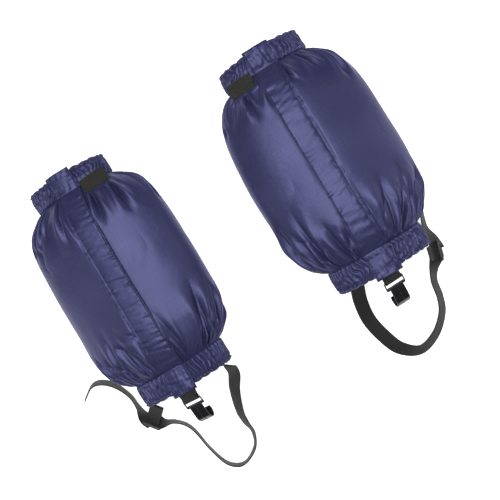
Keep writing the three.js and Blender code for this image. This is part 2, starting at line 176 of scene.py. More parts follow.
def smoothstep(low, high, x):
    """0 at low and 1 at high: three times the share squared less twice its cube."""
    s = np.clip((x - low) / (high - low), 0, 1)
    return s * s * (3 - 2 * s)


def grid_faces(rows, columns, wrap=False):
    """Quads between neighbours of a grid numbered row by row, joined round if wrapped."""
    r, c = np.meshgrid(
        np.arange(rows - 1), np.arange(columns if wrap else columns - 1), indexing="ij"
    )
    n = (c + 1) % columns
    here, over = r * columns, (r + 1) * columns
    return np.stack([here + c, here + n, over + n, over + c], axis=-1).reshape(-1, 4)


def make_mesh(name, points, faces, uv=None, caps=()):
    """A smooth mesh object at the origin, from points in the frame of the pair in
    millimetres, quads and end faces of any length."""
    mesh = bpy.data.meshes.new(name)
    everything = [*np.asarray(faces).tolist(), *[list(cap) for cap in caps]]
    mesh.from_pydata((np.asarray(points).reshape(-1, 3) * MM).tolist(), [], everything)
    mesh.polygons.foreach_set("use_smooth", [True] * len(mesh.polygons))
    if uv is not None:
        layer = mesh.uv_layers.new(name="cut")
        corners = np.empty(len(mesh.loops), int)
        mesh.loops.foreach_get("vertex_index", corners)
        layer.data.foreach_set("uv", (np.asarray(uv, float).reshape(-1, 2) * MM)[corners].ravel())
    mesh.update()
    made = bpy.data.objects.new(name, mesh)
    bpy.context.scene.collection.objects.link(made)
    return made


def volume(points, faces):
    """Six times the volume that quads wrap round: the sum over their two triangles of
    the first corner dotted with the cross product of the others."""
    a, b, c, d = (points[faces[:, k]] for k in range(4))
    return (a * (np.cross(b, c) + np.cross(c, d))).sum()


def sweep(name, rings, uv=None, capped=True):
    """A closed section carried along: rings[i, j] is point j of section i. Faces join
    each point to its neighbours in its own and the next section, and point outwards."""
    count, around = rings.shape[:2]
    points = rings.reshape(-1, 3)
    faces = grid_faces(count, around, wrap=True)
    outward = volume(points - points.mean(axis=0), faces) > 0
    first, last = np.arange(around), np.arange(around) + (count - 1) * around
    caps = (first[::-1], last) if outward else (first, last[::-1])
    if not outward:
        faces = faces[:, ::-1]
    return make_mesh(name, points, faces, uv, caps if capped else ())


def unit(v):
    """Each vector over its length."""
    return v / np.linalg.norm(v, axis=-1, keepdims=True)


def rounded_bar(width, thickness, rounding, per_corner=4):
    """The outline of a rounded rectangle: a quarter circle about each corner's centre."""
    corner = np.repeat([0, 1, 2, 3], per_corner)
    share = np.tile(np.linspace(0, 1, per_corner), 4)
    angle = (corner + share) * math.pi / 2
    sign = np.array([(1, 1), (-1, 1), (-1, -1), (1, -1)])[corner]
    centre = sign * (np.array([width, thickness]) / 2 - rounding)
    return centre + rounding * np.stack([np.cos(angle), np.sin(angle)], axis=1)


def ribbon(name, line, across, width, thickness, rounding=None, flat_points=8, ribs=0):
    """Webbing or a band: a rounded bar whose width lies along 'across' and whose
    thickness lies along the tangent crossed with it, carried along the line. Ribs lift
    both faces by that much, once every RIB_SPACING."""
    rounding = thickness * 0.48 if rounding is None else rounding
    tangent = unit(np.gradient(line, axis=0))
    across = unit(across - (across * tangent).sum(axis=1, keepdims=True) * tangent)
    normal = np.cross(tangent, across)
    outline = rounded_bar(width, thickness, rounding)
    face = np.linspace(1, -1, flat_points + 2)[1:-1, None] * (width / 2 - rounding)
    top = np.hstack([face, np.full_like(face, thickness / 2)])
    section = np.vstack([outline[:4], top, outline[4:12], -top, outline[12:]])
    rings = (
        line[:, None]
        + section[None, :, :1] * across[:, None]
        + section[None, :, 1:] * normal[:, None]
    )
    run = np.r_[0, np.cumsum(np.linalg.norm(np.diff(line, axis=0), axis=1))]
    lift = ribs * np.cos(TURN * run / RIB_SPACING)[:, None] * np.sign(section[None, :, 1])
    rings = rings + lift[..., None] * normal[:, None]
    uv = np.stack(np.broadcast_arrays(run[:, None], section[None, :, 0]), axis=-1)
    return sweep(name, rings, uv)


def ring_plate(name, outer, inner, thickness, place):
    """A flat frame between two outlines with as many points: the section goes from the
    outer outline over the front to the inner one and back behind, with round edges."""
    rim = thickness / 2
    angle = np.linspace(0, math.pi, 7)
    edge = np.stack([rim * (1 - np.sin(angle)), rim * np.cos(angle)], axis=1)
    inwards = unit(inner - outer)
    near = outer[:, None] + inwards[:, None] * edge[None, ::-1, :1]
    far = inner[:, None] - inwards[:, None] * edge[None, :, :1]
    flat = np.concatenate([near, far], axis=1)
    height = np.r_[edge[::-1, 1], edge[:, 1]]
    rings = np.dstack([flat, np.broadcast_to(height, flat.shape[:2])])
    rings = np.concatenate([rings, rings[:1]])
    return sweep(name, place(rings), capped=False)


def outline_loop(width, height, radius, count, middle=(0, 0)):
    """A rounded rectangle as that many points, each where a ray at an even angle from
    the middle of a dense outline meets it, so that two such loops pair up."""
    dense = rounded_bar(width, height, radius, 24)
    dense = np.vstack([dense, dense[:1]])
    angle = np.unwrap(np.arctan2(dense[:, 1] / height, dense[:, 0] / width))
    even = np.linspace(0, TURN, count, endpoint=False) + angle[0]
    return np.stack([np.interp(even, angle, c) for c in dense.T], axis=1) + middle


def waves(a, b, size_a, size_b, seed, count=28):
    """A smooth random field of unit spread: the sum of that many cosines with normal
    random frequencies about one turn per size, and random phases."""
    random = np.random.default_rng(seed)
    field = np.zeros(np.broadcast(a, b).shape)
    for turns_a, turns_b, phase in random.normal(size=(count, 3)):
        turns = 0.5 * turns_a * a / size_a + 0.5 * turns_b * b / size_b + 3 * phase
        field += np.cos(TURN * turns)
    return field * math.sqrt(2 / count)


# --- The tube ---

shoulder_table = spline(SHOULDER, 400)


def half_sizes(y):
    """Half the width and half the depth of the tube at heights up the leg."""
    share = (y - LOWER) / (UPPER - LOWER)
    fullness = np.interp(share, shoulder_table[:, 0], shoulder_table[:, 1])
    cuff = np.where((share < 0.5)[..., None], ANKLE_SIZE, TOP_SIZE)
    full = np.stack([fullness, fullness * DEPTH_FLATTENING], axis=-1).clip(0, 1)
    sizes = cuff + (np.array(BODY_SIZE) - cuff) * full
    return sizes[..., 0], sizes[..., 1]


def on_tube(t, y, h):
    """The point at angle t from the front, y up the leg and h above the cloth: on an
    ellipse, moved along its normal, and flattened where it would sink into the floor."""
    t, y, h = np.broadcast_arrays(t, y, h)
    a, b = half_sizes(y)
    nx, nz = np.sin(t) / a, np.cos(t) / b
    size = np.hypot(nx, nz)
    x = a * np.sin(t) + h * nx / size
    z = AXIS_Z + b * np.cos(t) + h * nz / size
    on_floor = CLOTH_WALL + 0.5
    z = on_floor + np.logaddexp(0, (z - on_floor) * 0.8) / 0.8
    return np.stack([x, y, z], axis=-1)


def angle_at(x, y):
    """The angle of a line straight up the front at distance x from the middle."""
    return np.arcsin(np.clip(x / half_sizes(y)[0], -1, 1))


def placed(points, side):
    """From a gaiter's own axes to the frame of the pair; the right gaiter is mirrored."""
    return points * (SIDES[side], 1, 1) + (MIDDLE[side], BOTTOM, 0)


def seed_of(side, number):
    """The two gaiters have different folds, so their random numbers differ."""
    return number + (500 if side == "right" else 0)


# --- Gathers ---


def crest(turns):
    """Round crests and pinched valleys: the size of a sine, once per turn, to a power
    below 1 that widens the crests, less its mean."""
    return np.abs(np.sin(math.pi * turns)) ** 0.6 - 0.74


def ruching(share, y, ridges, seed):
    """Ridges that run up the leg, unevenly spaced, wavering and unevenly high."""
    along = share * ridges
    wander = 0.35 * waves(along, y, 5, 22, seed) + 0.12 * waves(along, y, 2, 7, seed + 1)
    strength = 1 + 0.35 * waves(along, y, 3, 14, seed + 2)
    return crest(along + wander) * strength.clip(0.3, 1.8)


def seam_gathers(share, away, ridges, reach, seed):
    """Folds that leave a gathered seam many and narrow, and merge into fewer, wider and
    longer ones: three sets of crests, each half as many and twice as long as the last."""
    total = ruching(share, away, ridges, seed) * 1.4 * np.exp(-((away / (reach * 0.18)) ** 1.3))
    for level, height in ((1, 2.7), (2, 3.6)):
        count = ridges / (1.9**level)
        far = reach * (0.19 * 2.1**level)
        wander = 0.4 * waves(share * count, away, 4, 60, seed + 10 * level)
        strength = (0.75 + 0.6 * waves(share * count, away, 2.2, 90, seed + 20 * level)).clip(0, 2)
        rise = smoothstep(0, far * 0.22, away)
        fall = np.exp(-((away / (far * strength.clip(0.5, 1.25))) ** 2.2))
        total += crest(share * count + wander) * height * strength * rise * fall
    return total


def long_folds(share, away, count, reach, depth, seed):
    """Single pinched folds out of a seam: each a V-shaped valley between two low banks,
    which widens and fades with the distance and drifts a little to one side."""
    random = np.random.default_rng(seed)
    total = np.zeros(np.broadcast(share, away).shape)
    places = (np.arange(count) + random.uniform(0.15, 0.85, count)) / count
    for place in places:
        length = reach * random.uniform(0.55, 1.1)
        drift = random.normal(0, 0.00022)
        width = (1.3 + 0.045 * away) * random.uniform(0.7, 1.3)
        aside = (share - place - drift * away - 0.001 * np.sin(away / 13 + 9 * place)) * GIRTH
        bank = np.exp(-(((np.abs(aside) - 2.4 * width) / (1.5 * width)) ** 2))
        valley = -np.exp(-np.abs(aside) / width) + 0.55 * bank
        fade = smoothstep(0, 5, away) * (1 - smoothstep(0.35 * length, length, away))
        total += valley * fade * depth * random.uniform(0.55, 1.2)
    return total


def beside_flap(t, y, near_outer=4.0, near_inner=2.5):
    """0 under the flap and its tapes, 1 a few millimetres outside them."""
    a = half_sizes(y)[0]
    x = a * np.sin(t)
    front = np.cos(t) > 0
    outside = smoothstep(STITCH_X - 1, STITCH_X - 1 - near_outer, x)
    inside = smoothstep(FLAP_X - 3, FLAP_X - 3 + near_inner, x)
    return np.where(front, np.maximum(outside, inside), 1)


def seam_lift(t, y):
    """The cloth rises towards the flap's seam, so that the two run on into each other."""
    x = half_sizes(y)[0] * np.sin(t)
    return 3.0 * np.exp(-(((x + 17) / 24) ** 2)) * (x < -12) * (np.cos(t) > 0)


def under_cinch(t, y):
    """1 where the cinch tab lies on the top cuff's seam and 0 away from it."""
    start = angle_at(FLAP_X, np.array(UPPER))
    end = start + 42 / math.hypot(*TOP_SIZE)
    along = smoothstep(start - 0.12, start, t) * (1 - smoothstep(end, end + 0.1, t))
    below = 1 - smoothstep(UPPER + 11, UPPER + 15, y)
    return along * smoothstep(UPPER - 19, UPPER - 14, y) * below


def body_height(t, y, side):
    """How far the cloth of the body stands above the plain tube."""
    share = t / TURN
    up, down = (y - LOWER).clip(0), (UPPER - y).clip(0)
    seed = seed_of(side, 0)
    height = seam_gathers(share, up, BOTTOM_RIDGES, 100, seed + 1)
    height += long_folds(share, up, 23, 100, 5.8, seed + 2)
    height += 0.8 * seam_gathers(share, down, TOP_RIDGES, 58, seed + 3)
    height += long_folds(share, down, 13, 70, 8.0, seed + 4)
    away = smoothstep(0, 30, np.minimum(up, down))
    height += 1.1 * waves(share * GIRTH, y, 170, 150, seed + 5) * away
    height += 0.22 * waves(share * GIRTH, y, 38, 70, seed + 6) * away
    return height * beside_flap(t, y) * (1 - 0.85 * under_cinch(t, y)) + seam_lift(t, y)


def cloth_body(side):
    """The body: a sheet right round the tube from one edge of the front slit to the
    other, gathered into both cuffs, with its ends tucked under the casings."""
    tuck, low_folds, high_folds = 1.6, LOWER + 100, UPPER - 75
    y = np.r_[
        LOWER - tuck,
        np.linspace(LOWER, low_folds, 54),
        np.linspace(low_folds, high_folds, 18)[1:-1],
        np.linspace(high_folds, UPPER, 40),
        UPPER + tuck,
    ][:, None]
    slit = math.asin(SLIT / BODY_SIZE[0])
    t = np.linspace(slit, TURN - slit, 440)[None, :]
    height = body_height(t, y, side)
    past_lower = smoothstep(LOWER - tuck, LOWER + 1.5, y)
    past_upper = smoothstep(UPPER + tuck, UPPER - 1.5, y)
    inside = np.minimum(past_lower, past_upper)
    height = height * inside - 0.75 * (1 - inside)
    points = placed(on_tube(t, y, height), side)
    faces = grid_faces(*points.shape[:2])
    if side == "right":
        faces = faces[:, ::-1]
    uv = np.stack(np.broadcast_arrays(t / TURN * GIRTH, y), axis=-1)
    body = make_mesh(f"{side}_body_cloth", points, faces, uv)
    wall = body.modifiers.new("wall", "SOLIDIFY")
    wall.thickness = CLOTH_WALL * MM
    wall.offset = -1
    return body


def ruched_cuff(side, rim, seam, ridges, name):
    """A cuff: one strip folded over its elastic at the rim. Its section is a narrow U,
    puffed between the seam and a row of stitches short of the rim, past which it flares
    into a ruffle. Ridges up the leg lift the two visible faces and wave the rim."""
    out = math.copysign(1, rim - seam)
    reach = abs(rim - seam)
    slit = math.asin(SLIT / BODY_SIZE[0])
    t = np.linspace(slit, TURN - slit, 640)[:, None]
    rows, hidden_rows = 26, 3
    steps = np.linspace(0, 1, rows)
    hidden = np.array([0.0, reach - 2.2, reach - 1.9])
    away = np.r_[steps * reach, steps[::-1] * reach, hidden, hidden[::-1]]
    parts = [rows, rows, hidden_rows, hidden_rows]
    face = np.repeat([1, -1, -0.5, 0.5], parts)
    base = np.repeat([0, -CASING_DEPTH, -3.05, -1.25], parts)
    lift = np.repeat([1.0, 1.0, 0.0, 0.0], parts)
    stitched = reach - RIM_STITCH
    share = t / TURN
    y_plain = seam + out * away[None, :]
    ridge = ruching(share, away[None, :] * 0.8, ridges, seed_of(side, 40) + ridges)
    puff = np.sin(math.pi * (away / stitched).clip(0, 1)) * 0.55
    pinch = np.exp(-(((away - stitched) / 1.1) ** 2)) + np.exp(-((away / 1.2) ** 2))
    ruffle = smoothstep(stitched, reach, away)
    rise = (3.1 * ridge + 0.7 + puff) * (1 - 0.72 * pinch) - 0.35 * pinch
    seed = seed_of(side, 60) + ridges
    rise = rise + ruffle * (1.3 * waves(share * ridges, away, 2.1, 30, seed) + 0.3)
    damp = beside_flap(t, y_plain, 3, 2) * (1 - 0.8 * under_cinch(t, y_plain))
    rise = np.where(face > 0, np.maximum(rise, -1.0), np.minimum(rise, 1.4))
    h = base + lift * np.sign(face) * rise * damp * np.where(face > 0, 1, 0.7)
    h = h + np.where(face > 0, seam_lift(t, y_plain), 0) * lift
    round_rim = smoothstep(reach - 3.2, reach, away) * lift
    middle = -CASING_DEPTH / 2 + 0.9 * ruffle * waves(share * ridges, 0, 2.1, 30, seed) * damp
    h = h + (middle - h) * round_rim**2 * 0.82
    wander = 0.2 * waves(share * ridges, 0, 6, 9, seed_of(side, 70))
    scallop = 1.8 * (crest(share * ridges * 0.5 + wander) - 0.3)
    y = y_plain + out * scallop * ruffle * damp * lift
    points = placed(on_tube(t, y, h), side)
    uv = np.stack(np.broadcast_arrays(share * GIRTH, np.where(face > 0, away, away + 60)), axis=-1)
    return sweep(f"{side}_{name}", points, uv)


def front_flap(side):
    """The flap: a doubled leaf with a rolled free edge, which comes down to the body
    where it is sewn. Its section across the leg is a closed loop, carried up the leg,
    with puckers along both rows of stitches and creases where it crosses the cuffs."""
    y = np.linspace(*FLAP_ENDS, 460)[:, None]
    top_x = np.r_[
        np.linspace(-18.5, -9.5, 23),
        np.linspace(-8.5, 12.2, 22),
        np.linspace(12.9, FLAP_X - 0.3, 9),
    ]
    seam = [STITCH_X - 1.1, STITCH_X, STITCH_X + 1.1]
    top_h = np.interp(
        top_x,
        [-18.5, -16.5, *seam, -9.5, -4, 13, EDGE_STITCH_X, 16, 17],
        [2.6, 3.2, 3.3, 2.0, 3.4, 3.9, 4.2, 4.3, 3.75, 4.75, 4.4],
    )
    edge_x = np.array([FLAP_X, FLAP_X - 0.3])
    edge_h = np.array([FLAP_UNDERSIDE + 0.5, FLAP_UNDERSIDE + 0.08])
    under_x = np.r_[np.linspace(15.5, -9.5, 10), -12.5, -18.4]
    under_h = np.r_[np.full(10, FLAP_UNDERSIDE), 0.5, 0.25]
    x = np.r_[top_x, edge_x, under_x][None, :]
    h = np.r_[top_h, edge_h, under_h][None, :]
    upper_face = np.r_[np.ones(len(top_x)), np.zeros(len(edge_x) + len(under_x))][None, :]
    seed = seed_of(side, 90)
    near_stitch = np.exp(-(((x - STITCH_X) / 6.0) ** 2))
    near_edge = np.exp(-(((x - EDGE_STITCH_X) / 4.0) ** 2))
    pucker = waves(x + 0.7 * y, y, 14, 5.5, seed + 1)
    crease = waves(x * 0.4 + 0.3 * y, y, 30, 13, seed + 2)
    at_cuffs = np.exp(-(((y - LOWER) / 24) ** 2)) + np.exp(-(((y - UPPER) / 34) ** 2))
    rise = (0.26 * near_stitch + 0.24 * near_edge + 0.1) * pucker
    rise = rise + (0.12 + 0.4 * at_cuffs) * crease
    sewn_across = np.exp(-(((y - LOWER) / 1.1) ** 2)) + np.exp(-(((y - UPPER) / 1.1) ** 2))
    on_cuff = smoothstep(LOWER, LOWER - 4, y) + smoothstep(UPPER, UPPER + 4, y)
    rise = rise - 0.55 * sewn_across + 0.4 * on_cuff * waves(x, y, 7, 22, seed + 5)
    body_shape = 0.25 * waves(x, y, 30, 60, seed + 3)
    h = h + upper_face * (rise + body_shape).clip(-0.55, 1.0)
    ends = smoothstep(0, 1.2, y - FLAP_ENDS[0]) * smoothstep(0, 1.2, FLAP_ENDS[1] - y)
    h = h - upper_face * (1 - ends) * 0.55 + 1.3 * smoothstep(12.5, FLAP_X, x)
    sway = 0.5 * waves(0, y, 1, 90, seed + 4) * smoothstep(6, FLAP_X, x)
    points = placed(on_tube(angle_at(x + sway, y), y, h), side)
    uv = np.stack(np.broadcast_arrays(x + 300, y), axis=-1)
    return sweep(f"{side}_flap_cloth", points, uv)


def closure_tape(side, name, underside):
    """One half of the hook-and-loop tape: a flat bar with square edges up the front."""
    y = np.linspace(*TAPE_ENDS, 150)[:, None]
    points_across = 7
    over = np.linspace(*TAPE_X, points_across)
    x = np.r_[over, over[::-1]][None, :]
    h = np.repeat([underside + TAPE_THICKNESS, underside], points_across)[None, :]
    points = placed(on_tube(angle_at(x, y), y, h), side)
    uv = np.stack(np.broadcast_arrays(x, y), axis=-1)
    return sweep(f"{side}_{name}", points, uv)


def stitch_row(name, line, normal, long=2.5, gap=1.0, thick=0.75):
    """A row of lockstitches along a line: each is a low spindle, its radius the sine of
    its length share to the power 0.4, bent down into the cloth at both ends."""
    rounds, around = 7, 6
    run = np.r_[0, np.cumsum(np.linalg.norm(np.diff(line, axis=0), axis=1))]
    starts = np.arange(gap, run[-1] - long, long + gap)
    share = np.linspace(0, 1, rounds)
    at = starts[:, None] + share * long
    centre = np.stack([np.interp(at, run, c) for c in line.T], axis=-1)
    up = unit(np.stack([np.interp(at, run, c) for c in normal.T], axis=-1))
    along = unit(np.gradient(centre, axis=1))
    side = np.cross(along, up)
    radius = thick * np.sin(math.pi * share.clip(0.03, 0.97)) ** 0.4 * 0.5
    centre = centre + up * (0.12 - 0.5 * (2 * share - 1) ** 4)[None, :, None] * thick
    angle = np.linspace(0, TURN, around, endpoint=False)[:, None]
    outwards = side[:, :, None] * np.cos(angle) + up[:, :, None] * np.sin(angle)
    rings = centre[:, :, None] + outwards * radius[:, None, None]
    quads = grid_faces(rounds, around, wrap=True)
    if volume(rings[0].reshape(-1, 3) - centre[0].mean(axis=0), quads) < 0:
        quads = quads[:, ::-1]
    first = np.arange(len(starts)) * rounds * around
    faces = (quads[None] + first[:, None, None]).reshape(-1, 4)
    caps = [np.arange(around) + k + end for k in first for end in (0, (rounds - 1) * around)]
    return make_mesh(name, rings, faces, caps=caps)


def on_cloth(side, t, y, h):
    """Points on the cloth, and the direction out of it at each."""
    low, high = placed(on_tube(t, y, h), side), placed(on_tube(t, y, h + 1.0), side)
    return low, unit(high - low)


def flap_stitches(side, x, h, name):
    """A row of stitches up the flap at x, at a height above the plain cloth."""
    y = np.linspace(FLAP_ENDS[0] + 2, FLAP_ENDS[1] - 2, 500)
    line, normal = on_cloth(side, angle_at(x, y), y, h)
    return stitch_row(f"{side}_{name}", line, normal)


def cuff_stitches(side, y, name):
    """The row of stitches round a cuff, on top of its pinched ridges."""
    t = np.linspace(0.25, TURN - 0.3, 900)
    line, normal = on_cloth(side, t, y, 0.35)
    return stitch_row(f"{side}_{name}", line, normal, long=2.0, gap=0.9)


# --- Webbing ---


def standing(route):
    """The middle line of webbing and its direction of width: the width leans from
    upright towards the left of the way it runs, and its lower edge is at that height."""
    line = even_line(route, 1.4)
    lean = np.radians(line[:, 3])
    tangent = np.gradient(line[:, :2], axis=0)
    left = unit(np.stack([-tangent[:, 1], tangent[:, 0], 0 * lean], axis=1))
    across = left * np.sin(lean)[:, None] + np.array([0, 0, 1]) * np.cos(lean)[:, None]
    z = line[:, 2].clip(0.05) + WEBBING_WIDTH / 2 * np.cos(lean) + WEBBING_THICKNESS / 2
    return np.column_stack([line[:, 0], line[:, 1], z]), across


def side_on(points, step):
    """A line through [along, up] points in the middle plane of a hook or a buckle."""
    return even_line(np.column_stack([np.zeros(len(points)), points]), step)


def hook_pivot(side):
    return np.array([0, -HOOK_DROP[side], AXIS_Z + ANKLE_SIZE[1]])


def hook_place(side):
    """From the lace hook's own axes to the frame of the pair: pitched about its bar and
    turned to the outer side, with its bar below the flap."""
    pitch = Matrix.Rotation(HOOK_PITCH, 3, "X")
    turn = Matrix.Rotation(HOOK_TURN, 3, "Y")
    spin = np.array(turn @ pitch)
    return lambda points: placed(points @ spin.T + hook_pivot(side), side)


def hook_tab(side):
    """The webbing folded round the hook's bar: a line down the front leg, round the bar
    and up the back leg, twisted from the flap's slope to the bar's on the way."""
    drop = HOOK_DROP[side]
    width, thickness, leg = 24, 1.1, 4.5
    r = math.hypot(*HOOK_BAR) / 2 + CLEARANCE + 0.6
    sewn = FLAP_UNDERSIDE - 2.4
    points = [
        (drop - 0.35, sewn), (drop - leg, sewn), (r, r + 0.4), (0, r), (-r * 0.7, r * 0.7),
        (-r, 0), (-r * 0.7, -r * 0.7), (0, -r), (r, -r + 0.4), (drop - leg, sewn - 2.4),
    ]
    line = side_on(points, 0.6)
    twist = HOOK_TURN * smoothstep(0, drop - leg - r, drop - leg - line[:, 1])
    across = np.column_stack([np.cos(twist), 0 * twist, -np.sin(twist)])
    height = line[:, 2]
    turned = np.column_stack([height * np.sin(twist), line[:, 1], height * np.cos(twist)])
    spot = placed(turned + hook_pivot(side), side)
    across = across * (SIDES[side], 1, 1)
    return ribbon(f"{side}_hook_tab_webbing", spot, across, width, thickness)


def lace_hook(side):
    """The hook: a stamped ring plate with the bar above its slot, a curl, and the rib
    that is pressed up along the middle of the curl."""
    place = hook_place(side)
    outer = outline_loop(29.5, 13.0, 2.0, 120, (0, -5.0))
    slot = outline_loop(25.3, 5.4, 0.8, 120, (0, -4.2))
    pieces = [ring_plate(f"{side}_hook_plate", outer, slot, 1.7, place)]
    line = side_on(HOOK_CURL, 0.6)
    for part, path, width, thickness in (("curl", line, 20, 1.6), ("rib", line[8:-8], 1.5, 2.4)):
        spot = place(path)
        across = place(path + (1, 0, 0)) - spot
        pieces.append(ribbon(f"{side}_hook_{part}", spot, across, width, thickness, 0.55))
    return pieces


def buckle_place(side):
    """From the buckle's own axes to the frame of the pair: its faces look along its y,
    its long side lies along its x, and it is turned about the vertical."""
    x, y, turn = BUCKLE_PLACE[side]
    spin = np.array(Matrix.Rotation(turn, 3, "Z"))
    return lambda points: points @ spin.T + (x, y, BUCKLE_Z)


def buckle(side):
    """The buckle: a moulded frame with a ribbed bar across its opening. The bar's radius
    dips by a cosine of the way along it."""
    place = buckle_place(side)

    def on_edge(points):
        return place(np.stack([points[..., 0], -points[..., 2], points[..., 1]], axis=-1))

    outer = outline_loop(29, 21, 4, 120)
    opening = outline_loop(22, 15, 1.2, 120)
    ring = ring_plate(f"{side}_buckle_frame", outer, opening, 4, on_edge)
    half_bar, bar_radius, rib_depth, rib_spacing = 11.6, 2.0, 0.16, 1.9
    x = np.linspace(-half_bar, half_bar, 90)
    line = np.column_stack([x, 0 * x, 0 * x])
    angle = np.linspace(0, TURN, 20, endpoint=False)
    radius = bar_radius - rib_depth * (0.5 + 0.5 * np.cos(TURN * x / rib_spacing))
    circle = np.stack([0 * angle, np.cos(angle), np.sin(angle)], axis=-1)
    rings = line[:, None] + circle[None] * radius[:, None, None]
    return [ring, sweep(f"{side}_buckle_bar", place(rings))]


def buckle_tab(side):
    """The webbing from the cuff round the buckle's bar and back, its two legs apart."""
    thickness, bar = 1.4, (4, 4)
    r = math.hypot(*bar) / 2 + CLEARANCE + 0.8
    reach, rise = TAB_REACH[side], TAB_RISE[side]
    points = [
        (reach, rise), (r + 7, r + 5), (r, r), (0, r), (-r * 0.7, r * 0.7), (-r, 0),
        (-r * 0.7, -r * 0.7), (0, -r), (r, -r), (r + 7, r - 1), (reach, rise - 4.2),
    ]
    line = side_on(points, 0.8)
    place = buckle_place(side)
    spot = place(line)
    across = place(line + (1, 0, 0)) - spot
    return ribbon(f"{side}_buckle_tab_webbing", spot, across, WEBBING_WIDTH - 0.5, thickness)


def cinch_tab(side):
    """The webbing tab across the top cuff's seam: a flat strip round the cuff from the
    flap's edge, lying just above the ridges, with its cut end lifted a little."""
    start = angle_at(FLAP_X + 0.7, np.array(UPPER))
    length, slope = 37, {"left": 5.0, "right": 2.5}[side]
    share = np.linspace(0, 1, 110)
    t = start + share * length / math.hypot(*TOP_SIZE)
    y = UPPER - 3.5 + slope * (share - 0.35)
    spot = on_tube(t, UPPER - 10, 1.35 + 0.5 * share**3)
    spot[:, 1] = y
    line = placed(spot, side)
    across = np.broadcast_to([0.0, 1.0, 0.0], line.shape)
    return ribbon(f"{side}_cinch_webbing", line, across, WEBBING_WIDTH, 1.4, ribs=0.2)


# --- Materials ---


def hex_colour(code):
    """An sRGB hex code as linear red, green, blue and 1."""
    parts = [int(code[i : i + 2], 16) / 255 for i in (0, 2, 4)]
    return [p / 12.92 if p <= 0.04045 else ((p + 0.055) / 1.055) ** 2.4 for p in parts] + [1]


def add_node(material, kind, links=None, **settings):
    """Adds a node; settings are its attributes or its sockets' values, and links give
    the output that feeds each input."""
    node = material.node_tree.nodes.new(kind)
    for name, value in settings.items():
        socket = node.inputs.get(name.replace("_", " ")) if hasattr(node, "inputs") else None
        if socket is not None:
            socket.default_value = value
        else:
            setattr(node, name, value)
    for key, output in (links or {}).items():
        material.node_tree.links.new(output, node.inputs[key])
    return node


def new_material(name, **surface):
    """A material and its shader, whose sockets take the given values."""
    material = bpy.data.materials.new(name)
    material.use_nodes = True
    shader = material.node_tree.nodes["Principled BSDF"]
    for key, value in surface.items():
        shader.inputs[key.replace("_", " ")].default_value = value
    return material, shader


def attach(material, output, socket):
    material.node_tree.links.new(output, socket)


def two_tones(material, factor, low, high):
    """A colour that runs from the first to the second between two values of a noise;
    each is a value and an sRGB hex code."""
    tone = add_node(material, "ShaderNodeValToRGB", {"Fac": factor})
    for element, (position, code) in zip(tone.color_ramp.elements, (low, high)):
        element.position = position
        element.color = hex_colour(code)
    return tone.outputs["Color"]


def coated_nylon():
    """Polyurethane-coated nylon ripstop: a close plain weave with a thicker thread every
    5 mm each way, dyed dark violet blue. The coating gives it a soft gloss."""
    material, shader = new_material(
        "coated_nylon_ripstop",
        Roughness=0.4,
        Metallic=0.35,
        IOR=1.45,
        Specular_Tint=hex_colour("b7b7dc"),
        Sheen_Weight=0.08,
        Sheen_Tint=hex_colour("a5a3dc"),
        Sheen_Roughness=0.4,
        Coat_Weight=0.06,
        Coat_Roughness=0.3,
    )
    cut = add_node(material, "ShaderNodeUVMap", uv_map="cut").outputs["UV"]
    # Grid threads every 5 mm; a brick is half a unit long, so 100 units to the metre.
    grid = add_node(
        material, "ShaderNodeTexBrick", {"Vector": cut}, offset=0.0,
        Scale=100.0, Mortar_Size=0.035, Mortar_Smooth=0.6, Brick_Width=0.5, Row_Height=0.5,
        Color1=(1, 1, 1, 1), Color2=(1, 1, 1, 1), Mortar=(0, 0, 0, 1),
    ).outputs["Color"]
    # The close weave is drawn at 0.9 mm, since its real 0.2 mm is too fine to show.
    weave = add_node(
        material, "ShaderNodeTexBrick", {"Vector": cut}, offset=0.5,
        Scale=555.0, Mortar_Size=0.12, Mortar_Smooth=1.0, Brick_Width=0.5, Row_Height=0.5,
        Color1=(1, 1, 1, 1), Color2=(0.8, 0.8, 0.8, 1), Mortar=(0, 0, 0, 1),
    ).outputs["Color"]
    crinkle = add_node(
        material, "ShaderNodeTexNoise", {"Vector": cut}, Scale=150.0, Detail=4.0, Roughness=0.55,
    ).outputs["Fac"]
    dye = add_node(
        material, "ShaderNodeTexNoise", {"Vector": cut}, Scale=14.0, Detail=2.0, Roughness=0.5,
    ).outputs["Fac"]
    tone = two_tones(material, dye, (0.35, "35365a"), (0.7, "3d3f63"))
    # The Mix node's colour sockets share their names with its number sockets.
    threads = add_node(material, "ShaderNodeMix", {"Factor": grid}, data_type="RGBA")
    grid_colour, cloth_colour, mixed = threads.inputs[6], threads.inputs[7], threads.outputs[2]
    grid_colour.default_value = hex_colour("36375b")
    attach(material, tone, cloth_colour)
    attach(material, mixed, shader.inputs["Base Color"])
    fine = add_node(
        material, "ShaderNodeBump", {"Height": weave}, Strength=0.25, Distance=0.00012,
    ).outputs["Normal"]
    lines = add_node(
        material, "ShaderNodeBump", {"Height": grid, "Normal": fine}, Strength=0.2, Distance=0.0002,
    ).outputs["Normal"]
    creases = add_node(
        material, "ShaderNodeBump", {"Height": crinkle, "Normal": lines},
        Strength=0.35, Distance=0.0012,
    ).outputs["Normal"]
    attach(material, creases, shader.inputs["Normal"])
    return material


